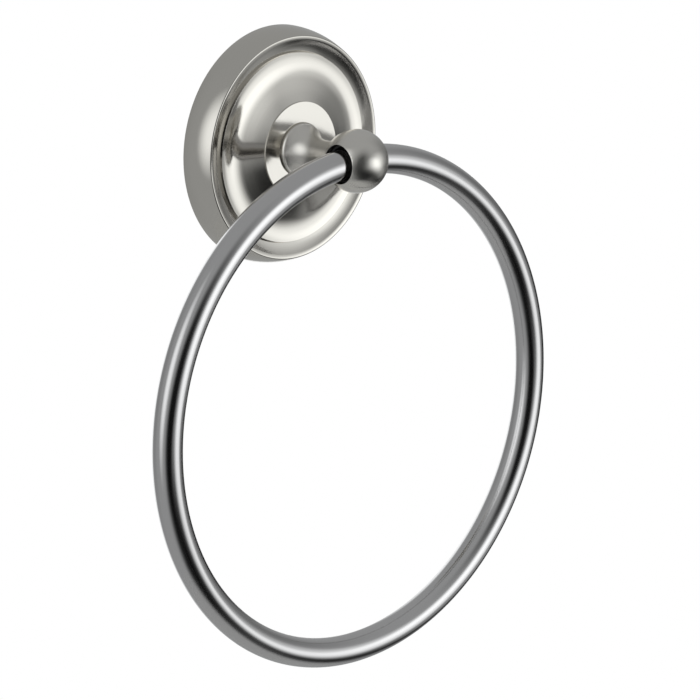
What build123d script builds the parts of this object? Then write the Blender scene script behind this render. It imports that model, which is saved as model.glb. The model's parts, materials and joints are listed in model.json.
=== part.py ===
from build123d import *
from math import cos, hypot, radians, sin, sqrt, tan
import os

# Wall-mounted towel ring. A round escutcheon hides the wall bracket, a post with a ball end stands
# out of it, and a closed ring swings in a bushing in the ball's cross bore.
# Millimetres. The wall is the plane Y = 0, the ring hangs in front of it towards -Y, and Z is up.
# The origin is on the wall, on the post's axis. A depth is measured from the wall towards the front.

# Ring: a round bar bent to a circle, its ends welded
ring_radius = 76.0  # to the bar's centre line
bar_d = 9.0

# Bushing pressed into the ball, recessed in its bore
bushing_length = 11.2
bushing_wall = 1.3
bushing_recess = 1.7
bushing_seat_gap = 0.03
bar_clearance = 0.2  # least gap between the bent bar and the bushing

# Post: spigot, flared foot, neck and ball on one axis, square to the wall
bore_countersink = 0.6  # how far the bore's 90 degree countersinks start inside its bare mouths
neck_d = 8.4
neck_length = 5.4
neck_blend = 1.5
bell_height = 8.8
foot_d = 16.6
foot_rim_height = 1.2
foot_edge = 0.4
foot_ledge = 0.5
spigot_d = 10.0
spigot_flats = 8.0
spigot_length = 1.6
spigot_gap = 0.15

# Escutcheon: widths outwards from the boss that the post stands on, and heights from the wall
boss_margin = 6.3
boss_step = 0.45
cone_width = 6.6
cone_angle = 20.0
dish_arc_r = 14.0  # hollow that runs on from the cone
dish_rise_width = 3.0  # from the dish's lowest circle out to its edge
dish_step = 0.7  # from the dish's edge down to the ledge round it
ledge_width = 4.0
ledge_rise = 1.42
ledge_sag = 0.2
lip_land = 1.1
lip_depth = 9.85
band_inset = 2.3
escutcheon_wall = 2.0

# Wall bracket: a strip bent outwards at both ends
bracket_width = 20.0
bracket_thickness = 1.6
bracket_room = 8.4  # from the bent ends to the inside of the escutcheon's band
bracket_corner = 3.0
bracket_front_gap = 0.6  # from the bent ends to the shelf behind the ledge
bend_angle = 40.0
bend_radius = 2.4
wall_hole_d = 4.8
wall_hole_spacing = 30.0

# Hook cast inside the escutcheon's top, which sits behind the bracket's upper bend
hook_width = 10.0
hook_tip = 1.4
hook_gap = 0.2
back_gap = 0.3  # cast lugs stop this far short of the wall

# Set screw through the escutcheon's underside, with a cone point behind the bracket's lower bend
set_screw_d = 4.0
set_screw_depth = 3.2
set_screw_recess = 0.6
set_screw_gap = 0.05
set_screw_key = 2.0
set_screw_key_depth = 2.2
set_boss_d = 8.0
set_boss_gap = 1.5

# Screw and lock washer that hold the post from behind
screw_d = 5.0
screw_length = 10.0
screw_point = 0.6
thread_gap = 0.1
hole_runout = 2.0
head_d = 9.2
head_height = 3.0
head_edge = 1.2
recess_span = 5.0
recess_slot = 1.3
recess_depth = 1.6
washer_d = 8.8
washer_thickness = 1.2
washer_gap = 0.2
washer_split = 1.0

# Radii and depths that follow
bar_r = bar_d / 2
bend_of_bar = ring_radius - sqrt(ring_radius**2 - (bushing_length / 2) ** 2)
bushing_bore_r = bar_r + bend_of_bar + bar_clearance
bore_r = bushing_bore_r + bushing_wall
mouth = bushing_length / 2 + bushing_recess
ball_r = hypot(bore_r, mouth)
neck_r = neck_d / 2
foot_r = foot_d / 2

cone_cos = cos(radians(cone_angle))
cone_sin = sin(radians(cone_angle))
cone_tan = tan(radians(cone_angle))
ledge_foot = lip_depth - ledge_rise
dish_edge_depth = ledge_foot + dish_step
dish_centre_depth = dish_edge_depth + sqrt(dish_arc_r**2 - dish_rise_width**2)
cone_end_depth = dish_centre_depth - dish_arc_r * cone_cos
cone_top_depth = cone_end_depth + cone_width * cone_tan
boss_depth = cone_top_depth + boss_step
boss_r = foot_r + boss_margin
cone_end_r = boss_r + cone_width
cone_end = (cone_end_r, cone_end_depth)
dish_low_r = cone_end_r + dish_arc_r * cone_sin
dish_edge_r = dish_low_r + dish_rise_width
land_r = dish_edge_r + ledge_width
lip_r = land_r + lip_land
escutcheon_r = lip_r + band_inset
band_arc_r = (band_inset**2 + lip_depth**2) / (2 * band_inset)

# Hollow of the escutcheon, one wall behind its front
boss_back = boss_depth - escutcheon_wall
shelf_back = ledge_foot - escutcheon_wall
cone_back_r = boss_r - (boss_step + escutcheon_wall / cone_cos - escutcheon_wall) / cone_tan
dish_back_arc_r = dish_arc_r + escutcheon_wall
cone_back_end = (dish_low_r - dish_back_arc_r * cone_sin, dish_centre_depth - dish_back_arc_r * cone_cos)
dish_back_r = dish_edge_r - escutcheon_wall
dish_back = dish_centre_depth - sqrt(dish_back_arc_r**2 - (dish_back_r - dish_low_r) ** 2)

bell_foot_depth = boss_depth + foot_rim_height
bell_neck_depth = bell_foot_depth + bell_height
ball_join_depth = bell_neck_depth + neck_length
projection = ball_join_depth + sqrt(ball_r**2 - neck_r**2)
ball_centre = (0, -projection, 0)
countersink_start = mouth - bore_countersink

head_seat = boss_back - washer_thickness
screw_hole_end = head_seat + screw_length + hole_runout

slope = tan(radians(bend_angle))
half_sheet = bracket_thickness / 2
bracket_end = escutcheon_r - escutcheon_wall - bracket_room
bend_end_depth = shelf_back - bracket_front_gap - half_sheet * cos(radians(bend_angle))
bend_start = bracket_end - (bend_end_depth - half_sheet) / slope
bend_back_offset = half_sheet - half_sheet / cos(radians(bend_angle))
bend_tip = bracket_end + half_sheet * sin(radians(bend_angle))

# Planes: facing the room, a half section with the radius across and the depth up, a section from the
# side with the height across and the depth up, and one across the ball's bore
front = Plane(origin=(0, 0, 0), x_dir=(1, 0, 0), z_dir=(0, -1, 0))
section = Plane(origin=(0, 0, 0), x_dir=(1, 0, 0), z_dir=(0, 0, -1))
side = Plane(origin=(0, 0, 0), x_dir=(0, 0, 1), z_dir=(1, 0, 0))
across = Plane(origin=ball_centre, x_dir=(0, 0, 1), z_dir=(1, 0, 0))


def bend_back(height):
    """Depth of the wall-facing side of the bracket's bent end at a height above the post's axis."""
    return bend_back_offset + (height - bend_start) * slope


def rims(edges, radius, depth):
    """Edges that run round the post's axis with this radius at this depth."""
    return edges.filter_by(GeomType.CIRCLE).filter_by(
        lambda edge: abs(edge.radius - radius) < 1e-4 and abs(edge.arc_center.Y + depth) < 1e-4
    )


def band_r_at(depth, wall=0):
    """Radius of the escutcheon's rounded outer band at a depth, or of its inside one wall further in."""
    return escutcheon_r - band_arc_r + sqrt((band_arc_r - wall) ** 2 - depth**2)


# Core of the escutcheon's casting: its front form one wall further in, with a flat shelf behind the
# ledge and the lip. Pockets in the core leave the hook and the set screw's boss on the casting.
set_boss_start = bend_tip + set_boss_gap
underside = Plane(origin=(0, -set_screw_depth, 0), x_dir=(1, 0, 0), z_dir=(0, 0, -1))
hook_start = bend_start + (back_gap + hook_tip + hook_gap - bend_back_offset) / slope
shelf_end = (band_r_at(shelf_back, escutcheon_wall), shelf_back)
with BuildPart() as core:
    with BuildSketch(section):
        with BuildLine():
            Polyline((0, boss_back), (cone_back_r, boss_back), cone_back_end)
            TangentArc(cone_back_end, (dish_back_r, dish_back), tangent=(cone_cos, -cone_sin))
            Polyline((dish_back_r, dish_back), (dish_back_r, shelf_back), shelf_end)
            TangentArc((escutcheon_r - escutcheon_wall, 0), shelf_end, tangent=(0, 1))
            Polyline((escutcheon_r - escutcheon_wall, 0), (0, 0), (0, boss_back))
        make_face()
    revolve(axis=Axis.Y)
    with BuildSketch(side):
        with BuildLine():
            Polyline(
                (hook_start, back_gap),
                (hook_start, bend_back(hook_start) - hook_gap),
                (escutcheon_r, bend_back(escutcheon_r) - hook_gap),
                (escutcheon_r, back_gap),
                close=True,
            )
        make_face()
    extrude(amount=hook_width / 2, both=True, mode=Mode.SUBTRACT)
    with BuildSketch(underside.offset(set_boss_start)):
        Circle(set_boss_d / 2)
        Rectangle(set_boss_d, set_screw_depth, align=(Align.CENTER, Align.MAX))
        with Locations((0, back_gap - set_screw_depth)):
            Rectangle(set_boss_d, 2 * set_boss_d, align=(Align.CENTER, Align.MIN), mode=Mode.INTERSECT)
    extrude(amount=escutcheon_r, mode=Mode.SUBTRACT)

# Escutcheon: turned front form, hollow at the back, with the post's keyed hole and the set screw's
with BuildPart() as escutcheon:
    with BuildSketch(section):
        with BuildLine():
            Polyline((0, boss_depth), (boss_r, boss_depth), (boss_r, cone_top_depth), cone_end)
            TangentArc(cone_end, (dish_edge_r, dish_edge_depth), tangent=(cone_cos, -cone_sin))
            Line((dish_edge_r, dish_edge_depth), (dish_edge_r, ledge_foot))
            SagittaArc((dish_edge_r, ledge_foot), (land_r, lip_depth), -ledge_sag)
            Line((land_r, lip_depth), (lip_r, lip_depth))
            TangentArc((escutcheon_r, 0), (lip_r, lip_depth), tangent=(0, 1))
            Polyline((escutcheon_r, 0), (0, 0), (0, boss_depth))
        make_face()
    revolve(axis=Axis.Y)
    add(core.part, mode=Mode.SUBTRACT)
    with BuildSketch(front.offset(boss_depth)):
        Circle(spigot_d / 2 + spigot_gap)
        Rectangle(spigot_d, spigot_flats + 2 * spigot_gap, mode=Mode.INTERSECT)
    extrude(amount=-2 * escutcheon_wall, mode=Mode.SUBTRACT)
    with BuildSketch(underside):
        Circle(set_screw_d / 2)
    extrude(amount=escutcheon_r, mode=Mode.SUBTRACT)

# Post: turned form with a keyed spigot, a tapped hole from behind and the ball's cross bore
with BuildPart() as post:
    with BuildSketch(section):
        with BuildLine():
            Line((neck_r, bell_neck_depth), (neck_r, ball_join_depth))
            ThreePointArc((neck_r, ball_join_depth), (ball_r, projection), (0, projection + ball_r))
            Polyline(
                (0, projection + ball_r),
                (0, boss_depth),
                (foot_r, boss_depth),
                (foot_r, bell_foot_depth),
                (foot_r - foot_ledge, bell_foot_depth),
            )
            TangentArc(
                (neck_r, bell_neck_depth), (foot_r - foot_ledge, bell_foot_depth), tangent=(0, -1)
            )
        make_face()
    revolve(axis=Axis.Y)
    chamfer(rims(post.edges(), foot_r, bell_foot_depth), foot_edge)
    fillet(rims(post.edges(), neck_r, ball_join_depth), neck_blend)
    with BuildSketch(front.offset(boss_depth)):
        Circle(spigot_d / 2)
        Rectangle(spigot_d, spigot_flats, mode=Mode.INTERSECT)
    extrude(amount=-spigot_length)
    with BuildSketch(front.offset(boss_depth - spigot_length)):
        Circle(screw_d / 2)
    extrude(amount=screw_hole_end - boss_depth + spigot_length, mode=Mode.SUBTRACT)
    with BuildSketch(Plane(origin=ball_centre)):
        with BuildLine():
            Polyline(
                (0, 0),
                (0, bore_r),
                (countersink_start, bore_r),
                (countersink_start + ball_r, bore_r + ball_r),
                (countersink_start + ball_r, 0),
                close=True,
            )
        make_face()
        mirror(about=Plane.YZ)
    revolve(axis=Axis(ball_centre, (1, 0, 0)), mode=Mode.SUBTRACT)

# Bushing: plain sleeve, shorter than the bore
with BuildPart() as ring_bushing:
    with BuildSketch(across):
        Circle(bore_r - bushing_seat_gap)
        Circle(bushing_bore_r, mode=Mode.SUBTRACT)
    extrude(amount=bushing_length / 2, both=True)

# Ring: the bar's section turned about the ring's own axis
ring_centre = (0, -projection, -ring_radius)
with BuildPart() as ring:
    with BuildSketch(Plane(origin=ring_centre)):
        with Locations((ring_radius, 0)):
            Circle(bar_r)
    revolve(axis=Axis(ring_centre, (0, 1, 0)))

# Wall bracket: strip bent outwards at its top and bottom, with two wall holes
with BuildPart() as wall_bracket:
    with BuildSketch(side):
        with BuildLine():
            FilletPolyline(
                (-bracket_end, bend_end_depth),
                (-bend_start, half_sheet),
                (bend_start, half_sheet),
                (bracket_end, bend_end_depth),
                radius=bend_radius,
            )
        trace(line_width=bracket_thickness)
    extrude(amount=bracket_width / 2, both=True)
    with BuildSketch(front):
        RectangleRounded(bracket_width, 2 * bend_tip, bracket_corner)
    extrude(amount=bend_end_depth + bracket_thickness, mode=Mode.INTERSECT)
    with BuildSketch(front):
        with Locations((0, wall_hole_spacing / 2), (0, -wall_hole_spacing / 2)):
            Circle(wall_hole_d / 2)
    extrude(amount=bracket_thickness, mode=Mode.SUBTRACT)

# Set screw: headless, its cone point flat along the bracket's lower bend
set_screw_r = set_screw_d / 2
set_point = bend_start + (set_screw_depth + set_screw_gap - bend_back_offset) / slope
set_shoulder = set_point + (set_screw_r - thread_gap) / slope
set_end = band_r_at(set_screw_depth) - set_screw_recess
with BuildPart() as set_screw:
    with BuildSketch(front.offset(set_screw_depth)):
        with BuildLine():
            Polyline(
                (0, -set_point),
                (set_screw_r - thread_gap, -set_shoulder),
                (set_screw_r - thread_gap, -set_end),
                (0, -set_end),
                close=True,
            )
        make_face()
    revolve(axis=Axis((0, -set_screw_depth, 0), (0, 0, 1)))
    with BuildSketch(Plane(origin=(0, -set_screw_depth, -set_end))):
        RegularPolygon(set_screw_key / 2, 6, major_radius=False)
    extrude(amount=set_screw_key_depth, mode=Mode.SUBTRACT)

# Post screw: pan head with a cross recess, its head inside the hollow of the escutcheon
with BuildPart() as post_screw:
    with BuildSketch(front.offset(head_seat)):
        Circle(head_d / 2)
    extrude(amount=-head_height)
    chamfer(rims(post_screw.edges(), head_d / 2, head_seat - head_height), head_edge)
    with BuildSketch(front.offset(head_seat)):
        Circle(screw_d / 2 - thread_gap)
    extrude(amount=screw_length)
    chamfer(rims(post_screw.edges(), screw_d / 2 - thread_gap, head_seat + screw_length), screw_point)
    with BuildSketch(front.offset(head_seat - head_height)):
        Rectangle(recess_span, recess_slot)
        Rectangle(recess_slot, recess_span)
    extrude(amount=recess_depth, mode=Mode.SUBTRACT)

# Lock washer: split ring between the screw's head and the back of the boss
with BuildPart() as lock_washer:
    with BuildSketch(front.offset(head_seat)):
        Circle(washer_d / 2)
        Circle(screw_d / 2 + washer_gap, mode=Mode.SUBTRACT)
        Rectangle(washer_d, washer_split, align=(Align.MIN, Align.CENTER), mode=Mode.SUBTRACT)
    extrude(amount=washer_thickness)

os.makedirs("parts", exist_ok=True)
pieces = {
    "escutcheon": escutcheon,
    "post": post,
    "ring_bushing": ring_bushing,
    "ring": ring,
    "wall_bracket": wall_bracket,
    "set_screw": set_screw,
    "post_screw": post_screw,
    "lock_washer": lock_washer,
}
for name, piece in pieces.items():
    piece.part.label = name
    export_step(piece.part, f"parts/{name}.step")
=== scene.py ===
import json
from math import ceil, cos, hypot, pi, radians, sin, sqrt, tan

import bmesh
import bpy
from bpy.props import FloatProperty, FloatVectorProperty, IntProperty, PointerProperty
from bpy.types import Operator, Panel, PropertyGroup
from mathutils import Matrix, Vector


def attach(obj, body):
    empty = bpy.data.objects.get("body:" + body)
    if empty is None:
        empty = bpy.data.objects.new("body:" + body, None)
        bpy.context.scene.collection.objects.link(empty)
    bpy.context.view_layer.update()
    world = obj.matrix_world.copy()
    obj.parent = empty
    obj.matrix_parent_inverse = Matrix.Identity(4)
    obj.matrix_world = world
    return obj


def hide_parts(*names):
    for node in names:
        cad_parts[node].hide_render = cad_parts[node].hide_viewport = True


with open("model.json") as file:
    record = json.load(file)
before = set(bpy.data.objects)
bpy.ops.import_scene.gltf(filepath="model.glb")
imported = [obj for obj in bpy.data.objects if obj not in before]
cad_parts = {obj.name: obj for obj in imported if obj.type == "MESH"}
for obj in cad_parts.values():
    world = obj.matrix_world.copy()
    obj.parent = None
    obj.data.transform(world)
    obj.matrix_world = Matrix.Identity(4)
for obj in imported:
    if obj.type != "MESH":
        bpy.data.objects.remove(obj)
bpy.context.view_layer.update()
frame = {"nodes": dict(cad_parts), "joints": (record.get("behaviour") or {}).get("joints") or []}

bl_info = {
    "name": "Towel ring",
    "version": (1, 0, 0),
    "blender": (4, 5, 0),
    "location": "View3D > Sidebar > Towel ring",
    "description": "Dresses the packed towel ring with turned, brushed and plated pieces and a studio",
    "category": "Object",
}

# The wall is the plane Y = 0, the ring hangs in front of it towards -Y, and Z is up. The origin is on
# the wall, on the post's axis. A depth is measured from the wall towards the front.
MM = 0.001
BALL_CENTRE = Vector(frame["joints"][0]["pos_m"])
PROJECTION = -BALL_CENTRE.y
POST_AXIS = Vector((0, -1, 0))
BORE_AXIS = Vector((1, 0, 0))
UP = Vector((0, 0, 1))
WHITE = (1.0, 1.0, 1.0, 1.0)

# Meshing
SEAM = 1e-7  # points of a spun outline that merge
SAME = 1e-6  # how near a point lies to an outline's corner that it belongs to
WELD = 1e-6  # width of the hair-thin faces that a cut leaves
ARC_STEP = radians(4)  # widest step of an arc
ARC_LEAST = 3  # fewest steps of an arc
SHARP = radians(38)  # edges from this angle on stay crisp
ROD_STEPS = 96  # faces round the plain bars that cut or join
FLOOR_STEPS = 96  # corners of the floor's edge
TOOL_REACH = 1.5  # how much further out the bore's tool goes than the bore's mouth

# Surfaces: noise varies about its mean, clouds are counted per metre, the darkest tint is a share of
# the tint, and haze is what the roughness gains from the lowest to the highest noise
METAL = 1.0
PLASTIC = 0.0
MEAN = 0.5
POLISH_CLOUDS = 60.0
POLISH_DARKEST = 0.96
POLISH_HAZE = 0.05
BRUSH_DARKEST = 0.94
BRUSH_HAZE = 0.08
BRUSH_FINE = 0.7  # weight of the fine marks beside the coarse ones
BRUSH_COARSE = 0.15  # pitch of the fine marks as a share of the pitch of the coarse ones
BRUSH_COARSE_HAZE = 0.06
GRAIN_CLOUDS = 90.0
GRAIN_DARKEST = 0.8
GRAIN_HAZE = 0.12


def length(name, description, millimetres):
    """A length in metres, given in millimetres."""
    return FloatProperty(
        name=name, description=description, default=millimetres * MM, unit="LENGTH", precision=5
    )


def angle(name, description, degrees):
    """An angle in radians, given in degrees."""
    return FloatProperty(name=name, description=description, default=radians(degrees), unit="ROTATION")


def share(name, description, value):
    """A plain number, such as a roughness or a light's radiance."""
    return FloatProperty(name=name, description=description, default=value, precision=3)


def colour(name, description, value):
    """A linear colour."""
    return FloatVectorProperty(name=name, description=description, default=value, subtype="COLOR")


class TowelRingSizes(PropertyGroup):
    """Sizes of the turned, cast and bent pieces"""

    ring_radius: length("Ring radius", "From the ring's centre to its bar's centre line", 76.0)
    bar_r: length("Bar radius", "Half the thickness of the ring's bar", 4.5)

    boss_r: length("Boss radius", "Flat disc that the post stands on", 14.6)
    boss_step: length("Boss step", "Step from the disc down to the cone round it", 0.45)
    cone_width: length("Cone width", "Width of the straight slope round the disc", 6.6)
    cone_angle: angle("Cone angle", "Slope of the cone", 20.0)
    cone_sag: length("Cone sag", "Slight hollow left in the cone by polishing", 0.08)
    dish_arc_r: length("Dish arc", "Radius of the hollow that runs on from the cone", 14.0)
    dish_rise_width: length("Dish rise", "From the dish's lowest circle out to its edge", 3.0)
    dish_step: length("Dish step", "From the dish's edge down to the ledge round it", 0.95)
    ledge_width: length("Ledge width", "From the dish's edge to the lip", 4.0)
    ledge_rise: length("Ledge rise", "Height of the lip above the ledge's foot", 1.42)
    ledge_sag: length("Ledge sag", "Hollow of the ledge below its chord", 0.13)
    lip_land: length("Lip land", "Land on the lip", 1.1)
    lip_fall: length("Lip fall", "How far polishing lowers the land's inner edge", 0.25)
    lip_depth: length("Lip depth", "Height of the lip above the wall", 9.85)
    band_inset: length("Band inset", "How far the rounded band draws in from the wall to the lip", 2.3)
    wall: length("Wall", "Thickness of the escutcheon's casting", 2.0)
    edge_round: length("Edge round", "Rounding left by polishing on the crisp edges", 0.12)
    lip_round: length("Lip round", "Rounding of the lip's two edges", 0.35)

    back_gap: length("Back gap", "Cast lugs stop this far short of the wall", 0.3)
    bend_angle: angle("Bend angle", "Slope of the bracket's bent ends", 40.0)
    hook_width: length("Hook width", "Width of the hook cast inside the escutcheon's top", 10.0)
    hook_tip: length("Hook tip", "Thickness of the hook's tip", 1.4)
    hook_start: length("Hook start", "Height of the hook's tip above the post's axis", 23.28)
    set_boss_r: length("Set boss radius", "Boss cast round the set screw", 4.0)
    set_boss_start: length(
        "Set boss start", "Inner end of the set screw's boss below the post's axis", 28.0025
    )
    set_screw_r: length("Set screw radius", "Hole for the set screw", 2.0)
    set_screw_depth: length("Set screw depth", "Set screw's axis from the wall", 3.2)

    foot_r: length("Foot radius", "Rim of the post's flared foot", 8.3)
    foot_rim: length("Foot rim", "Height of the foot's rim", 1.2)
    foot_edge: length("Foot edge", "How far the foot's rounded rim draws in", 0.4)
    foot_joint: length("Foot joint", "Relief under the foot's rim that shows as a dark joint", 0.2)
    foot_ledge: length("Foot ledge", "Flat between the rim and the bell", 0.5)
    bell_height: length("Bell height", "Height of the hollow flare above the foot", 8.8)
    neck_r: length("Neck radius", "Half the thickness of the post's neck", 4.2)
    neck_blend: length("Neck blend", "Rounding between the neck and the ball", 1.5)
    ball_r: length("Ball radius", "Radius of the ball", 9.5818)
    bore_r: length("Bore radius", "Bore across the ball that holds the bushing", 5.88)
    rim_round: length("Rim round", "Polished rounding of the bore's rims", 0.1)
    rim_cut: length("Rim cut", "How far the rounding runs out past the ball", 0.01)
    spigot_r: length("Spigot radius", "Keyed spigot under the foot", 5.0)
    spigot_flats: length("Spigot flats", "Width across the spigot's two flats", 8.0)
    spigot_length: length("Spigot length", "Depth of the spigot in the escutcheon", 1.6)
    spigot_gap: length("Spigot gap", "Clearance round the spigot", 0.15)
    screw_hole_r: length("Screw hole radius", "Tapped hole up the post from behind", 2.5)
    screw_hole_end: length("Screw hole end", "Depth at which the tapped hole ends", 21.3013)

    bushing_length: length("Bushing length", "Length of the nylon sleeve", 11.2)
    bushing_r: length("Bushing radius", "Outside of the nylon sleeve", 5.85)
    bushing_bore_r: length("Bushing bore", "Radius that the ring's bar turns in", 4.9066)
    bushing_round: length("Bushing round", "Rounded mouths of the sleeve", 0.35)

    round_steps: IntProperty(
        name="Steps round", description="Faces round each turned piece", default=192, min=24
    )
    ring_steps: IntProperty(
        name="Ring steps", description="Faces along the ring's circle", default=384, min=24
    )
    bar_steps: IntProperty(
        name="Bar steps", description="Faces round the ring's bar", default=64, min=12
    )


class TowelRingFinish(PropertyGroup):
    """Colours and surface of the metals and the nylon"""

    nickel: colour("Nickel", "Satin nickel plating", (0.7, 0.675, 0.625))
    nickel_roughness: share("Nickel roughness", "Haze of the escutcheon's polish", 0.11)
    nickel_groove: length("Nickel groove", "Depth of the polishing marks on the nickel", 0.004)
    mark_pitch: length("Mark pitch", "Spacing of the fine polishing marks", 0.12)
    # Painted light: the post's nickel is a lighter copy of the escutcheon's nickel, lifted so that the
    # ball and the bell look more brightly lit
    post: colour("Post", "Nickel plating on the brushed post", (0.82, 0.795, 0.745))
    post_roughness: share("Post roughness", "Satin of the turned post", 0.19)
    post_spread: share("Post spread", "How far the post's highlights spread sideways", 1.0)
    steel: colour("Steel", "Satin steel of the ring", (0.68, 0.67, 0.668))
    steel_roughness: share("Steel roughness", "Satin polish of the ring", 0.165)
    steel_groove: length("Steel groove", "Depth of the polishing marks on the ring", 0.002)
    casting: colour("Casting", "Plated casting skin inside the escutcheon", (0.62, 0.6, 0.56))
    casting_roughness: share("Casting roughness", "Dull skin of the casting", 0.5)
    casting_grain: length("Casting grain", "Size of the casting's grain", 0.5)
    casting_relief: length("Casting relief", "Depth of the casting's grain", 0.03)
    nylon: colour("Nylon", "Black nylon of the bushing", (0.012, 0.012, 0.013))
    nylon_roughness: share("Nylon roughness", "Sheen of the moulded nylon", 0.5)
    nylon_grain: length("Nylon grain", "Size of the nylon's grain", 0.25)
    nylon_relief: length("Nylon relief", "Depth of the nylon's grain", 0.006)
    zinc: colour("Zinc", "Clear zinc plating on the bracket and screws", (0.8, 0.82, 0.84))
    zinc_roughness: share("Zinc roughness", "Sheen of the zinc plating", 0.34)
    zinc_grain: length("Zinc grain", "Size of the plating's grain", 0.4)
    oxide: colour("Oxide", "Black oxide on the set screw", (0.05, 0.05, 0.052))
    oxide_roughness: share("Oxide roughness", "Sheen of the black oxide", 0.42)
    oxide_grain: length("Oxide grain", "Size of the oxide's grain", 0.3)
    plate_relief: length("Plate relief", "Depth of the zinc's and the oxide's grain", 0.004)


class TowelRingStudio(PropertyGroup):
    """Camera, lamps and floor"""

    view_azimuth: angle("View azimuth", "Camera to the left of straight in front of the wall", 44.1)
    view_elevation: angle("View elevation", "Camera above the ring's centre", 15.395)
    view_distance: length("View distance", "From the ring's centre to the camera", 1171.0)
    aim_side: length("Aim side", "Where the camera aims, to the side of the ring's centre", -2.66)
    aim_height: length("Aim height", "Where the camera aims, above the ring's centre", 18.45)
    lens: FloatProperty(name="Lens", description="Focal length in millimetres", default=199.27)
    sensor: FloatProperty(name="Sensor", description="Sensor's width in millimetres", default=36.0)
    floor_drop: length("Floor drop", "Height at which such a ring is mounted", 1200.0)
    floor_radius: length("Floor radius", "Reach of the pale floor", 900.0)
    floor_fade: share("Floor fade", "Share of its radius at which the floor starts to fade", 0.45)
    floor_tint: colour("Floor tint", "Pale matt floor", (0.85, 0.85, 0.84))
    floor_roughness: share("Floor roughness", "Matt floor", 0.7)
    floor_glow: share("Floor glow", "How far the floor is lifted towards white", 0.35)
    floor_shine: share("Floor shine", "Share of that lift that the metal mirrors", 0.2)
    fill: share("Fill", "Radiance of the room's grey fill", 0.38)
    daylight: colour("Daylight", "Tint of the room's light", (0.97, 0.99, 1.0))
    horizon: share("Horizon", "How softly a lamp or a flag ends at a right angle to its middle", 0.1)
    backdrop_full: angle("Backdrop full", "White backdrop that the metal mirrors, behind it", 6.0)
    backdrop_end: angle("Backdrop end", "Where that backdrop has faded into the room", 16.0)


class Socket:
    """An output of a shader node. Arithmetic on it adds Math nodes."""

    def __init__(self, recipe, socket):
        self.recipe = recipe
        self.socket = socket

    def math(self, operation, *values):
        names = dict(enumerate(values))
        return self.recipe.node("ShaderNodeMath", {"operation": operation}, names)[0]

    def __add__(self, other):
        return self.math("ADD", self, other)

    __radd__ = __add__

    def __sub__(self, other):
        return self.math("SUBTRACT", self, other)

    def __rsub__(self, other):
        return self.math("SUBTRACT", other, self)

    def __mul__(self, other):
        return self.math("MULTIPLY", self, other)

    __rmul__ = __mul__

    def __truediv__(self, other):
        return self.math("DIVIDE", self, other)

    def __pow__(self, other):
        return self.math("POWER", self, other)

    def above(self, low, high):
        """0 below the low value, 1 above the high one, and smooth between them."""
        settings = {"interpolation_type": "SMOOTHSTEP"}
        sockets = {"Value": self, "From Min": low, "From Max": high}
        return self.recipe.node("ShaderNodeMapRange", settings, sockets)["Result"]


class Node:
    """A shader node whose outputs are taken by name or number."""

    def __init__(self, recipe, node):
        self.recipe = recipe
        self.node = node

    def __getitem__(self, name):
        return Socket(self.recipe, self.node.outputs[name])


class Recipe:
    """The node tree of a material or of the world."""

    def __init__(self, owner):
        owner.use_nodes = True
        self.tree = owner.node_tree
        self.tree.nodes.clear()

    def node(self, kind, settings=None, sockets=None):
        """Makes a node: its settings first, then the values or links of its sockets."""
        node = self.tree.nodes.new(kind)
        for name, value in (settings or {}).items():
            setattr(node, name, value)
        for name, value in (sockets or {}).items():
            if isinstance(value, Socket):
                self.tree.links.new(value.socket, node.inputs[name])
            else:
                node.inputs[name].default_value = value
        return Node(self, node)

    def mix(self, low, high, factor):
        """A colour between two others. The node has its colour inputs at 6 and 7, its output at 2."""
        sockets = {"Factor": factor, 6: low, 7: high}
        return self.node("ShaderNodeMix", {"data_type": "RGBA"}, sockets)[2]

    def noise(self, vector, scale, detail):
        """Noise about 0.5 on a vector."""
        sockets = {"Vector": vector, "Scale": scale, "Detail": detail}
        return self.node("ShaderNodeTexNoise", None, sockets)["Fac"]

    def surface(self, shader):
        self.node("ShaderNodeOutputMaterial", None, {"Surface": shader})


def rgba(tint, share_of_it=1.0):
    """A tint, or a darker share of it, as an opaque colour."""
    return (*(channel * share_of_it for channel in tint), 1.0)


def about_axis(recipe, centre):
    """Distance from the line through a point along Y, and the place along it, as a vector."""
    place = recipe.node("ShaderNodeTexCoord")["Object"]
    moved = recipe.node(
        "ShaderNodeVectorMath", {"operation": "SUBTRACT"}, {0: place, 1: centre}
    )["Vector"]
    split = recipe.node("ShaderNodeSeparateXYZ", None, {"Vector": moved})
    radius = (split["X"] * split["X"] + split["Z"] * split["Z"]) ** 0.5
    return recipe.node("ShaderNodeCombineXYZ", None, {"X": radius, "Y": split["Y"]})["Vector"]


def about_height(recipe):
    """Distance from the upright line through the origin."""
    place = recipe.node("ShaderNodeTexCoord")["Object"]
    split = recipe.node("ShaderNodeSeparateXYZ", None, {"Vector": place})
    return (split["X"] * split["X"] + split["Y"] * split["Y"]) ** 0.5


def polished_metal(name, tint, roughness, groove, pitch, spread=0.0):
    """Plated metal, polished round the post's axis, with a soft haze that may spread sideways."""
    material = bpy.data.materials.new(name)
    recipe = Recipe(material)
    round_axis = about_axis(recipe, (0, 0, 0))
    place = recipe.node("ShaderNodeTexCoord")["Object"]
    fine = recipe.noise(round_axis, 1 / pitch, detail=1.0)
    cloud = recipe.noise(place, POLISH_CLOUDS, detail=3.0)
    bump = recipe.node(
        "ShaderNodeBump", None, {"Strength": 1.0, "Distance": groove, "Height": fine}
    )["Normal"]
    base = recipe.mix(rgba(tint, POLISH_DARKEST), rgba(tint), cloud)
    gloss = roughness + (cloud - MEAN) * POLISH_HAZE
    sockets = {"Base Color": base, "Metallic": METAL, "Roughness": gloss, "Normal": bump}
    sockets["Anisotropic"] = spread
    recipe.surface(recipe.node("ShaderNodeBsdfPrincipled", None, sockets)["BSDF"])
    return material


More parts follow.
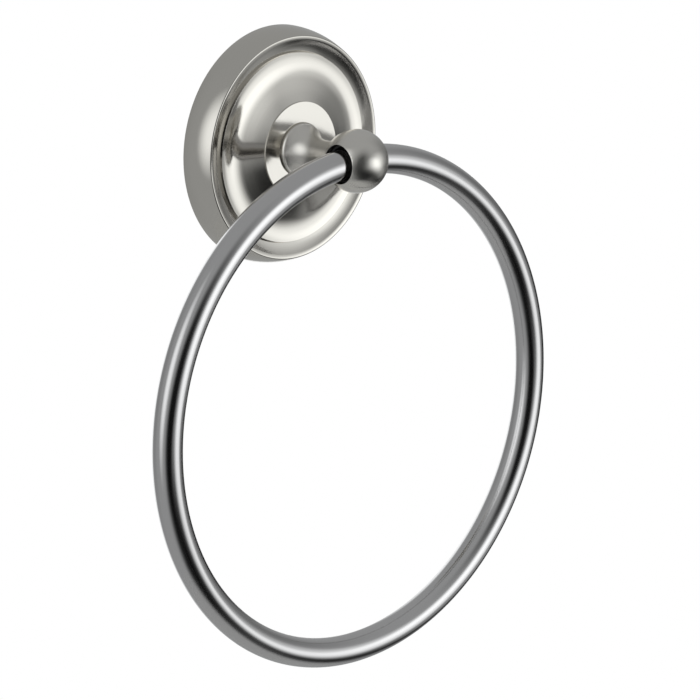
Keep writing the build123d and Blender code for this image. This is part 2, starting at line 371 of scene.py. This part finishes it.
def brushed_metal(name, centre, tint, roughness, groove, pitch):
    """Metal with fine marks that run round an axis along Y."""
    material = bpy.data.materials.new(name)
    recipe = Recipe(material)
    round_axis = about_axis(recipe, centre)
    place = recipe.node("ShaderNodeTexCoord")["Object"]
    fine = recipe.noise(round_axis, 1 / pitch, detail=1.0)
    coarse = recipe.noise(round_axis, BRUSH_COARSE / pitch, detail=1.0)
    cloud = recipe.noise(place, POLISH_CLOUDS, detail=3.0)
    marks = fine * BRUSH_FINE + coarse * (1 - BRUSH_FINE)
    bump = recipe.node(
        "ShaderNodeBump", None, {"Strength": 1.0, "Distance": groove, "Height": marks}
    )["Normal"]
    base = recipe.mix(rgba(tint, BRUSH_DARKEST), rgba(tint), fine)
    gloss = roughness + (cloud - MEAN) * BRUSH_HAZE + (coarse - MEAN) * BRUSH_COARSE_HAZE
    sockets = {"Base Color": base, "Metallic": METAL, "Roughness": gloss, "Normal": bump}
    recipe.surface(recipe.node("ShaderNodeBsdfPrincipled", None, sockets)["BSDF"])
    return material


def grained(name, tint, metallic, roughness, grain, relief):
    """A plain surface with a fine cast or moulded grain."""
    material = bpy.data.materials.new(name)
    recipe = Recipe(material)
    place = recipe.node("ShaderNodeTexCoord")["Object"]
    skin = recipe.noise(place, 1 / grain, detail=3.0)
    cloud = recipe.noise(place, GRAIN_CLOUDS, detail=2.0)
    bump = recipe.node(
        "ShaderNodeBump", None, {"Strength": 1.0, "Distance": relief, "Height": skin}
    )["Normal"]
    base = recipe.mix(rgba(tint, GRAIN_DARKEST), rgba(tint), cloud)
    gloss = roughness + (cloud - MEAN) * GRAIN_HAZE
    sockets = {"Base Color": base, "Metallic": metallic, "Roughness": gloss, "Normal": bump}
    recipe.surface(recipe.node("ShaderNodeBsdfPrincipled", None, sockets)["BSDF"])
    return material


class Outline:
    """A line drawn in a plane through an axis. A point is its distance from the axis and its place
    along the axis from a centre."""

    def __init__(self, mesh, centre, axis, start):
        self.mesh = mesh
        self.centre = centre
        self.axis = axis
        self.out = UP
        self.tip = mesh.verts.new(self.place(start))
        self.drawn = [self.tip]

    def place(self, point):
        return self.centre + self.out * point[0] + self.axis * point[1]

    def line(self, *points):
        for point in points:
            made = bmesh.ops.extrude_vert_indiv(self.mesh, verts=[self.tip])
            self.tip = made["verts"][0]
            self.tip.co = self.place(point)
            self.drawn += made["verts"] + made["edges"]
        return self

    def arc(self, end, middle):
        """An arc about a middle point, no more than half a turn."""
        cent = self.place(middle)
        start = self.tip.co - cent
        stop = self.place(end) - cent
        sweep = start.angle(stop)
        steps = max(ARC_LEAST, ceil(sweep / ARC_STEP))
        before = set(self.mesh.verts) | set(self.mesh.edges)
        made = bmesh.ops.spin(
            self.mesh,
            geom=[self.tip],
            cent=cent,
            axis=start.cross(stop).normalized(),
            angle=sweep,
            steps=steps,
        )
        self.tip = made["geom_last"][0]
        self.tip.co = self.place(end)
        after = set(self.mesh.verts) | set(self.mesh.edges)
        self.drawn += list(after - before)
        return self

    def turn(self, steps, material=0):
        """Spins the line a full turn about its axis."""
        before = set(self.mesh.faces)
        bmesh.ops.spin(
            self.mesh,
            geom=self.drawn,
            cent=self.centre,
            axis=self.axis,
            angle=2 * pi,
            steps=steps,
            use_merge=True,
        )
        for face in set(self.mesh.faces) - before:
            face.material_index = material


def close(mesh):
    """Merges seams and poles and turns every face outwards."""
    bmesh.ops.remove_doubles(mesh, verts=mesh.verts, dist=SEAM)
    bmesh.ops.recalc_face_normals(mesh, faces=mesh.faces)


def rims(mesh, centre, axis, *points):
    """Edges that run round an axis through these outline points."""
    found = []
    for edge in mesh.edges:
        ends = []
        for vert in edge.verts:
            along = (vert.co - centre).dot(axis)
            ends.append(((vert.co - centre - axis * along).length, along))
        for point in points:
            if all(hypot(end[0] - point[0], end[1] - point[1]) < SAME for end in ends):
                found.append(edge)
    return found


def soften(mesh, edges, width, segments=3):
    """Rounds crisp edges."""
    bmesh.ops.bevel(
        mesh,
        geom=edges,
        offset=width,
        offset_type="OFFSET",
        segments=segments,
        profile=0.5,
        affect="EDGES",
        material=-1,
        clamp_overlap=True,
    )


def finished(mesh, name, *materials):
    """An object at the origin, smooth but for its crisp edges."""
    for face in mesh.faces:
        face.smooth = True
    data = bpy.data.meshes.new(name)
    mesh.to_mesh(data)
    mesh.free()
    piece = bpy.data.objects.new(name, data)
    bpy.context.scene.collection.objects.link(piece)
    for material in materials:
        data.materials.append(material)
    return piece


def shade(piece):
    """Crisp edges by angle, with the wide faces leading the shading."""
    piece.data.set_sharp_from_angle(angle=SHARP)
    weighted = piece.modifiers.new("Weighted normals", "WEIGHTED_NORMAL")
    weighted.keep_sharp = True
    return piece


def weld(data):
    """Merges the hair-thin faces that a cut leaves."""
    mesh = bmesh.new()
    mesh.from_mesh(data)
    bmesh.ops.remove_doubles(mesh, verts=mesh.verts, dist=WELD)
    bmesh.ops.dissolve_degenerate(mesh, edges=mesh.edges, dist=WELD)
    mesh.to_mesh(data)
    mesh.free()


def combine(piece, tool, operation):
    """Cuts a tool from a piece, or joins it, and removes the tool."""
    cut = piece.modifiers.new("Cut", "BOOLEAN")
    cut.operation = operation
    cut.solver = "EXACT"
    cut.material_mode = "INDEX"
    cut.object = tool
    with bpy.context.temp_override(object=piece, active_object=piece):
        bpy.ops.object.modifier_apply(modifier=cut.name)
    bpy.data.objects.remove(tool)
    weld(piece.data)


def stand_for(piece, node, body):
    """The piece takes a CAD node's place and moves with its body."""
    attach(piece, body)
    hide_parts(node)


def trim(mesh, point, normal):
    """Cuts away what lies beyond a plane and closes the cut."""
    geom = mesh.verts[:] + mesh.edges[:] + mesh.faces[:]
    cut = bmesh.ops.bisect_plane(mesh, geom=geom, plane_co=point, plane_no=normal, clear_outer=True)
    edges = [item for item in cut["geom_cut"] if isinstance(item, bmesh.types.BMEdge)]
    bmesh.ops.edgeloop_fill(mesh, edges=edges)
    close(mesh)


def rod(radius, start, end):
    """A round bar from one point to another."""
    mesh = bmesh.new()
    along = end - start
    turn = Matrix.Translation((start + end) / 2) @ along.to_track_quat("Z", "Y").to_matrix().to_4x4()
    bmesh.ops.create_cone(
        mesh,
        cap_ends=True,
        segments=ROD_STEPS,
        radius1=radius,
        radius2=radius,
        depth=along.length,
        matrix=turn,
    )
    return mesh


def block(low, high):
    """A box between two corners."""
    mesh = bmesh.new()
    turn = Matrix.Translation((low + high) / 2) @ Matrix.Diagonal((*(high - low), 1.0))
    bmesh.ops.create_cube(mesh, size=1.0, matrix=turn)
    return mesh


def keyed_prism(radius, flats, low, high):
    """A round bar along the post's axis with two flats, between two depths."""
    mesh = rod(radius, POST_AXIS * low, POST_AXIS * high)
    for flat in (UP, -UP):
        trim(mesh, flat * flats / 2, flat)
    return mesh


def face_of(sizes):
    """Corners of the escutcheon's front: radius and depth, from the boss out to the wall."""
    slope = sizes.cone_angle
    ledge_foot = sizes.lip_depth - sizes.lip_fall - sizes.ledge_rise
    edge_depth = ledge_foot + sizes.dish_step
    middle_depth = edge_depth + sqrt(sizes.dish_arc_r**2 - sizes.dish_rise_width**2)
    cone_end_r = sizes.boss_r + sizes.cone_width
    cone_end_depth = middle_depth - sizes.dish_arc_r * cos(slope)
    cone_top_depth = cone_end_depth + sizes.cone_width * tan(slope)
    middle_r = cone_end_r + sizes.dish_arc_r * sin(slope)
    edge_r = middle_r + sizes.dish_rise_width
    land_r = edge_r + sizes.ledge_width
    lip_r = land_r + sizes.lip_land
    return {
        "boss": Vector((sizes.boss_r, cone_top_depth + sizes.boss_step)),
        "cone_top": Vector((sizes.boss_r, cone_top_depth)),
        "cone_end": Vector((cone_end_r, cone_end_depth)),
        "dish_middle": Vector((middle_r, middle_depth)),
        "dish_edge": Vector((edge_r, edge_depth)),
        "ledge_foot": Vector((edge_r, ledge_foot)),
        "land": Vector((land_r, sizes.lip_depth - sizes.lip_fall)),
        "lip": Vector((lip_r, sizes.lip_depth)),
        "base": Vector((lip_r + sizes.band_inset, 0)),
    }


def sagged(start, end, sag):
    """Middle of an arc between two outline points that sags below its chord."""
    chord = end - start
    radius = (chord.length**2 / 4 + sag**2) / (2 * sag)
    return (start + end) / 2 + Vector((-chord.y, chord.x)).normalized() * (radius - sag)


class TOWELRING_OT_escutcheon(Operator):
    """Turned front of the escutcheon, hollow at the back, with its hook and set screw boss"""

    bl_idname = "towelring.escutcheon"
    bl_label = "Escutcheon"

    def execute(self, context):
        sizes = context.scene.towel_ring_sizes
        finish = context.scene.towel_ring_finish
        steps = sizes.round_steps
        wall = sizes.wall
        face = face_of(sizes)
        base = face["base"]
        boss_depth = face["boss"].y
        band_arc_r = (sizes.band_inset**2 + sizes.lip_depth**2) / (2 * sizes.band_inset)
        band_middle = Vector((base.x - band_arc_r, 0))
        nickel = polished_metal(
            "satin_nickel",
            finish.nickel,
            finish.nickel_roughness,
            finish.nickel_groove,
            finish.mark_pitch,
        )
        casting = grained(
            "plated_casting",
            finish.casting,
            METAL,
            finish.casting_roughness,
            finish.casting_grain,
            finish.casting_relief,
        )

        mesh = bmesh.new()
        origin = Vector()
        front = Outline(mesh, origin, POST_AXIS, (0, boss_depth))
        front.line((sizes.foot_r, boss_depth), face["boss"], face["cone_top"])
        front.arc(face["cone_end"], sagged(face["cone_top"], face["cone_end"], sizes.cone_sag))
        front.arc(face["dish_edge"], face["dish_middle"])
        front.line(face["ledge_foot"])
        front.arc(face["land"], sagged(face["ledge_foot"], face["land"], sizes.ledge_sag))
        front.line(face["lip"])
        front.arc(base, band_middle)
        front.line((0, 0))
        front.turn(steps)
        close(mesh)
        soften(mesh, rims(mesh, origin, POST_AXIS, face["land"], face["lip"]), sizes.lip_round)
        crisp = rims(mesh, origin, POST_AXIS, face["boss"], face["dish_edge"], base)
        soften(mesh, crisp, sizes.edge_round)
        piece = finished(mesh, "escutcheon_turned", nickel, casting)

        boss_back = boss_depth - wall
        shelf = face["ledge_foot"].y + sizes.lip_fall - wall
        slope = sizes.cone_angle
        corner = sizes.boss_r - (sizes.boss_step + wall / cos(slope) - wall) / tan(slope)
        hollow_arc_r = sizes.dish_arc_r + wall
        cone_back = face["dish_middle"] - Vector((sin(slope), cos(slope))) * hollow_arc_r
        dish_back_r = face["dish_edge"].x - wall
        across = dish_back_r - face["dish_middle"].x
        dish_back = (dish_back_r, face["dish_middle"].y - sqrt(hollow_arc_r**2 - across**2))
        shelf_r = band_middle.x + sqrt((band_arc_r - wall) ** 2 - shelf**2)
        mesh = bmesh.new()
        back = Outline(mesh, origin, POST_AXIS, (0, boss_back))
        back.line((corner, boss_back), cone_back)
        back.arc(dish_back, face["dish_middle"])
        back.line((dish_back_r, shelf), (shelf_r, shelf))
        back.arc((base.x - wall, 0), band_middle)
        back.line((base.x - wall, -wall), (0, -wall))
        back.turn(steps, material=1)
        close(mesh)
        hollow = finished(mesh, "hollow_tool", nickel, casting)

        low = Vector((-sizes.hook_width / 2, -boss_depth, sizes.hook_start))
        high = Vector((sizes.hook_width / 2, -sizes.back_gap, base.x))
        mesh = block(low, high)
        tip = Vector((0, -sizes.back_gap - sizes.hook_tip, sizes.hook_start))
        trim(mesh, tip, Vector((0, -cos(sizes.bend_angle), -sin(sizes.bend_angle))))
        combine(hollow, finished(mesh, "hook_tool", casting), "DIFFERENCE")
        start = Vector((0, -sizes.set_screw_depth, -sizes.set_boss_start))
        end = Vector((0, -sizes.set_screw_depth, -base.x))
        mesh = rod(sizes.set_boss_r, start, end)
        trim(mesh, Vector((0, -sizes.back_gap, 0)), Vector((0, 1, 0)))
        combine(hollow, finished(mesh, "boss_tool", casting), "DIFFERENCE")
        reach = Vector((sizes.set_boss_r, 0, 0))
        foot = Vector((0, sizes.set_screw_depth - sizes.back_gap, 0))
        mesh = block(end - reach, start + reach + foot)
        combine(hollow, finished(mesh, "boss_foot_tool", casting), "DIFFERENCE")
        combine(piece, hollow, "DIFFERENCE")

        keyhole = keyed_prism(
            sizes.spigot_r + sizes.spigot_gap,
            sizes.spigot_flats + 2 * sizes.spigot_gap,
            boss_back - wall,
            boss_depth + wall,
        )
        combine(piece, finished(keyhole, "keyhole_tool", nickel), "DIFFERENCE")
        axis = Vector((0, -sizes.set_screw_depth, 0))
        mesh = rod(sizes.set_screw_r, axis, axis - Vector((0, 0, base.x + wall)))
        combine(piece, finished(mesh, "set_hole_tool", nickel), "DIFFERENCE")
        shade(piece)
        stand_for(piece, "escutcheon", "wall_post")
        return {"FINISHED"}


class TOWELRING_OT_post(Operator):
    """Post with a flared foot, a neck and a bored ball"""

    bl_idname = "towelring.post"
    bl_label = "Post"

    def execute(self, context):
        sizes = context.scene.towel_ring_sizes
        finish = context.scene.towel_ring_finish
        boss_depth = face_of(sizes)["boss"].y
        foot_top = boss_depth + sizes.foot_rim
        bell_top = foot_top + sizes.bell_height
        ledge_r = sizes.foot_r - sizes.foot_ledge
        flare = ledge_r - sizes.neck_r
        rim_start = boss_depth + sizes.foot_joint
        rim_height = foot_top - rim_start
        rim_arc_r = (sizes.foot_edge**2 + rim_height**2) / (2 * sizes.foot_edge)
        bell_arc_r = (flare**2 + sizes.bell_height**2) / (2 * flare)
        blend_r = sizes.neck_r + sizes.neck_blend
        blend_reach = sizes.ball_r + sizes.neck_blend
        blend_depth = PROJECTION - sqrt(blend_reach**2 - blend_r**2)
        touch = sizes.ball_r / blend_reach
        touch_point = (blend_r * touch, PROJECTION - (PROJECTION - blend_depth) * touch)

        mesh = bmesh.new()
        origin = Vector()
        form = Outline(mesh, origin, POST_AXIS, (0, boss_depth))
        form.line((sizes.foot_r - sizes.foot_joint, boss_depth))
        form.line((sizes.foot_r, boss_depth + sizes.foot_joint))
        form.arc((sizes.foot_r - sizes.foot_edge, foot_top), (sizes.foot_r - rim_arc_r, rim_start))
        form.line((ledge_r, foot_top))
        form.arc((sizes.neck_r, bell_top), (sizes.neck_r + bell_arc_r, bell_top))
        form.line((sizes.neck_r, blend_depth))
        form.arc(touch_point, (blend_r, blend_depth))
        form.arc((sizes.ball_r, PROJECTION), (0, PROJECTION))
        form.arc((0, PROJECTION + sizes.ball_r), (0, PROJECTION))
        form.turn(sizes.round_steps)
        close(mesh)
        # The post takes the lighter copy of the nickel, painted light that brightens the ball and the
        # bell
        nickel = polished_metal(
            "turned_nickel_painted_lighter",
            finish.post,
            finish.post_roughness,
            finish.nickel_groove,
            finish.mark_pitch,
            finish.post_spread,
        )
        piece = finished(mesh, "post_turned", nickel)

        rim = sizes.rim_round
        reach = sizes.ball_r + sizes.rim_cut
        across = sizes.bore_r + rim
        middle = Vector((across, sqrt((reach - rim) ** 2 - across**2)))
        edge = middle * reach / (reach - rim)
        flip = Vector((1, -1))
        bore = bmesh.new()
        cutter = Outline(bore, BALL_CENTRE, BORE_AXIS, (0, -TOOL_REACH * edge.y))
        cutter.line(edge * flip * TOOL_REACH, edge * flip)
        cutter.arc((sizes.bore_r, -middle.y), middle * flip)
        cutter.line((sizes.bore_r, middle.y))
        cutter.arc(edge, middle)
        cutter.line(edge * TOOL_REACH, (0, TOOL_REACH * edge.y))
        cutter.turn(sizes.round_steps)
        close(bore)
        combine(piece, finished(bore, "bore_tool", nickel), "DIFFERENCE")
        spigot = keyed_prism(
            sizes.spigot_r,
            sizes.spigot_flats,
            boss_depth - sizes.spigot_length,
            boss_depth + sizes.foot_edge,
        )
        combine(piece, finished(spigot, "spigot_tool", nickel), "UNION")
        hole = rod(sizes.screw_hole_r, Vector(), POST_AXIS * sizes.screw_hole_end)
        combine(piece, finished(hole, "hole_tool", nickel), "DIFFERENCE")
        shade(piece)
        stand_for(piece, "post", "wall_post")
        return {"FINISHED"}


class TOWELRING_OT_bushing(Operator):
    """Nylon sleeve in the ball's bore"""

    bl_idname = "towelring.bushing"
    bl_label = "Ring bushing"

    def execute(self, context):
        sizes = context.scene.towel_ring_sizes
        finish = context.scene.towel_ring_finish
        half = sizes.bushing_length / 2
        outer = sizes.bushing_r
        inner = sizes.bushing_bore_r
        mesh = bmesh.new()
        sleeve = Outline(mesh, BALL_CENTRE, BORE_AXIS, (inner, -half))
        sleeve.line((outer, -half), (outer, half), (inner, half), (inner, -half))
        sleeve.turn(sizes.round_steps)
        close(mesh)
        corners = [(inner, -half), (outer, -half), (outer, half), (inner, half)]
        soften(mesh, rims(mesh, BALL_CENTRE, BORE_AXIS, *corners), sizes.bushing_round)
        nylon = grained(
            "black_nylon",
            finish.nylon,
            PLASTIC,
            finish.nylon_roughness,
            finish.nylon_grain,
            finish.nylon_relief,
        )
        piece = shade(finished(mesh, "bushing_sleeve", nylon))
        stand_for(piece, "ring_bushing", "wall_post")
        return {"FINISHED"}


class TOWELRING_OT_ring(Operator):
    """Closed ring of round bar"""

    bl_idname = "towelring.ring"
    bl_label = "Ring"

    def execute(self, context):
        sizes = context.scene.towel_ring_sizes
        finish = context.scene.towel_ring_finish
        centre = BALL_CENTRE - Vector((0, 0, sizes.ring_radius))
        mesh = bmesh.new()
        section = Matrix.Translation(BALL_CENTRE) @ Matrix.Rotation(pi / 2, 4, "Y")
        bmesh.ops.create_circle(mesh, segments=sizes.bar_steps, radius=sizes.bar_r, matrix=section)
        bmesh.ops.spin(
            mesh,
            geom=mesh.verts[:] + mesh.edges[:],
            cent=centre,
            axis=POST_AXIS,
            angle=2 * pi,
            steps=sizes.ring_steps,
            use_merge=True,
        )
        close(mesh)
        steel = brushed_metal(
            "satin_steel",
            centre,
            finish.steel,
            finish.steel_roughness,
            finish.steel_groove,
            finish.mark_pitch,
        )
        piece = shade(finished(mesh, "ring_bar", steel))
        stand_for(piece, "ring", "ring")
        return {"FINISHED"}


class TOWELRING_OT_hardware(Operator):
    """Finishes on the bracket and the screws behind the escutcheon"""

    bl_idname = "towelring.hardware"
    bl_label = "Bracket and screws"

    def execute(self, context):
        finish = context.scene.towel_ring_finish
        relief = finish.plate_relief
        zinc = grained(
            "zinc_plate", finish.zinc, METAL, finish.zinc_roughness, finish.zinc_grain, relief
        )
        oxide = grained(
            "black_oxide", finish.oxide, METAL, finish.oxide_roughness, finish.oxide_grain, relief
        )
        finishes = {
            "wall_bracket": zinc,
            "post_screw": zinc,
            "lock_washer": zinc,
            "set_screw": oxide,
        }
        for name, material in finishes.items():
            node = frame["nodes"][name]
            node.data.materials.clear()
            node.data.materials.append(material)
        return {"FINISHED"}


# Soft lamps and dark flags round the object. Each is an ellipse: azimuth, with 0 out from the wall
# and 90 towards +X, elevation, roll, half width and half height in degrees, the share of it before
# it starts to fade, and its radiance or its depth. The lamps key, key foot, key glow and left strip
# and the flags beside the key, under the key, right and low left began as a scratch program's fit to
# the photo's reflections and were then changed by eye. The other rows were set one by one.
LAMPS = {
    "key": (31, -3, -25, 43, 33, 0.12, 1.6),
    "key foot": (43, -9, -65, 36, 24, 0.12, 1.25),
    "key glow": (38, 3, 0, 56, 46, 0.0, 0.97),
    "left strip": (-88, 15, -6, 36, 86, 0.12, 1.2),
    "low right": (69, -27, 0, 26, 18, 0.2, 0.36),
    "behind": (162, -4, 0, 32, 60, 0.25, 1.25),
}
FLAGS = {
    "beside the key": (-27, -2, -21, 38, 80, 0.35, 0.98),
    "under the key": (71, -37, 18, 80, 28, 0.3, 0.93),
    "right": (91, -1, -69, 80, 34, 0.09, 0.5),
    "far right": (108, -16, 0, 34, 24, 0.35, 0.92),
    "low left": (-17, -44, -51, 80, 39, 0.2, 0.95),
    "low front": (8, -34, 0, 28, 24, 0.4, 0.85),
    "underneath": (5, -67, 0, 40, 20, 0.3, 0.5),
    "behind left": (-155, 0, 0, 36, 70, 0.0, 0.25),
}


class TOWELRING_OT_stage(Operator):
    """Camera, soft lamps, world and floor"""

    bl_idname = "towelring.stage"
    bl_label = "Studio"

    def execute(self, context):
        studio = context.scene.towel_ring_studio
        sizes = context.scene.towel_ring_sizes
        scene = context.scene
        centre = BALL_CENTRE - Vector((0, 0, sizes.ring_radius))

        lens = bpy.data.cameras.new("Camera")
        lens.lens = studio.lens
        lens.sensor_width = studio.sensor
        camera = bpy.data.objects.new("Camera", lens)
        scene.collection.objects.link(camera)
        side = studio.view_azimuth
        rise = studio.view_elevation
        back = Vector((-sin(side) * cos(rise), -cos(side) * cos(rise), sin(rise)))
        camera.location = centre + back * studio.view_distance
        aim = centre + Vector((studio.aim_side, 0, studio.aim_height))
        camera.rotation_mode = "QUATERNION"
        camera.rotation_quaternion = (aim - camera.location).to_track_quat("-Z", "Y")
        scene.camera = camera

        world = bpy.data.worlds.new("Studio")
        scene.world = world
        recipe = Recipe(world)
        towards = recipe.node("ShaderNodeTexCoord")["Generated"]

        def along(axis):
            """How far a ray points along an axis."""
            sockets = {0: towards, 1: axis}
            return recipe.node("ShaderNodeVectorMath", {"operation": "DOT_PRODUCT"}, sockets)["Value"]

        def ellipse(azimuth, elevation, roll, wide, high, core):
            """1 in the core of a soft ellipse and 0 outside it."""
            turn = Matrix.Rotation(radians(azimuth), 3, "Z")
            turn = turn @ Matrix.Rotation(-radians(elevation), 3, "X")
            turn = turn @ Matrix.Rotation(-radians(roll), 3, "Y")
            across = along(turn @ BORE_AXIS) / sin(radians(wide))
            up = along(turn @ UP) / sin(radians(high))
            reach = (across * across + up * up) ** 0.5
            return (1 - reach.above(core, 1.0)) * along(turn @ POST_AXIS).above(0.0, studio.horizon)

        room = 1.0
        for *shape, depth in FLAGS.values():
            room = room * (1 - ellipse(*shape) * depth)
        light = room * studio.fill
        for *shape, radiance in LAMPS.values():
            light = light.math("MAXIMUM", light, ellipse(*shape) * radiance)
        path = recipe.node("ShaderNodeLightPath")
        behind = along(-back).above(cos(studio.backdrop_end), cos(studio.backdrop_full))
        seen = path["Is Glossy Ray"] * behind + path["Is Camera Ray"] + path["Is Transmission Ray"]
        strength = light * (1 - seen) + seen
        daylight = recipe.mix(rgba(studio.daylight), WHITE, seen)
        sockets = {"Color": daylight, "Strength": strength}
        glow = recipe.node("ShaderNodeBackground", None, sockets)["Background"]
        recipe.node("ShaderNodeOutputWorld", None, {"Surface": glow})

        mesh = bmesh.new()
        low = Matrix.Translation((0, BALL_CENTRE.y, -studio.floor_drop))
        bmesh.ops.create_circle(
            mesh, cap_ends=True, segments=FLOOR_STEPS, radius=studio.floor_radius, matrix=low
        )
        floor = finished(mesh, "floor")
        pale = bpy.data.materials.new("pale_floor")
        tiles = Recipe(pale)
        out = about_height(tiles)
        fade = 1 - out.above(studio.floor_fade * studio.floor_radius, studio.floor_radius)
        sockets = {
            "Base Color": rgba(studio.floor_tint),
            "Roughness": studio.floor_roughness,
            "Alpha": fade,
        }
        matt = tiles.node("ShaderNodeBsdfPrincipled", None, sockets)["BSDF"]
        path = tiles.node("ShaderNodeLightPath")
        mirrored = path["Is Glossy Ray"] * studio.floor_shine
        seen = path["Is Camera Ray"] + path["Is Transmission Ray"] + mirrored
        glow = tiles.node("ShaderNodeEmission", None, {"Strength": 1.0})["Emission"]
        factor = seen * fade * studio.floor_glow
        tiles.surface(tiles.node("ShaderNodeMixShader", None, {0: factor, 1: matt, 2: glow})["Shader"])
        floor.data.materials.append(pale)

        scene.view_settings.view_transform = "Standard"
        return {"FINISHED"}


PIECES = (
    TOWELRING_OT_escutcheon,
    TOWELRING_OT_post,
    TOWELRING_OT_bushing,
    TOWELRING_OT_ring,
    TOWELRING_OT_hardware,
    TOWELRING_OT_stage,
)
SETTINGS = {
    "towel_ring_sizes": TowelRingSizes,
    "towel_ring_finish": TowelRingFinish,
    "towel_ring_studio": TowelRingStudio,
}


class TOWELRING_PT_panel(Panel):
    """The pieces and their settings"""

    bl_idname = "TOWELRING_PT_panel"
    bl_label = "Towel ring"
    bl_space_type = "VIEW_3D"
    bl_region_type = "UI"
    bl_category = "Towel ring"

    def draw(self, context):
        column = self.layout.column(align=True)
        for piece in PIECES:
            column.operator(piece.bl_idname)
        for name, group in SETTINGS.items():
            settings = getattr(context.scene, name)
            box = self.layout.box()
            box.label(text=group.__doc__)
            for value in group.__annotations__:
                box.prop(settings, value)


def register():
    for name, group in SETTINGS.items():
        bpy.utils.register_class(group)
        setattr(bpy.types.Scene, name, PointerProperty(type=group))
    for made in (*PIECES, TOWELRING_PT_panel):
        bpy.utils.register_class(made)


def unregister():
    for made in (TOWELRING_PT_panel, *reversed(PIECES)):
        bpy.utils.unregister_class(made)
    for name, group in SETTINGS.items():
        delattr(bpy.types.Scene, name)
        bpy.utils.unregister_class(group)


def main():
    register()
    bpy.ops.towelring.escutcheon()
    bpy.ops.towelring.post()
    bpy.ops.towelring.bushing()
    bpy.ops.towelring.ring()
    bpy.ops.towelring.hardware()
    bpy.ops.towelring.stage()


if __name__ == "__main__":
    main()
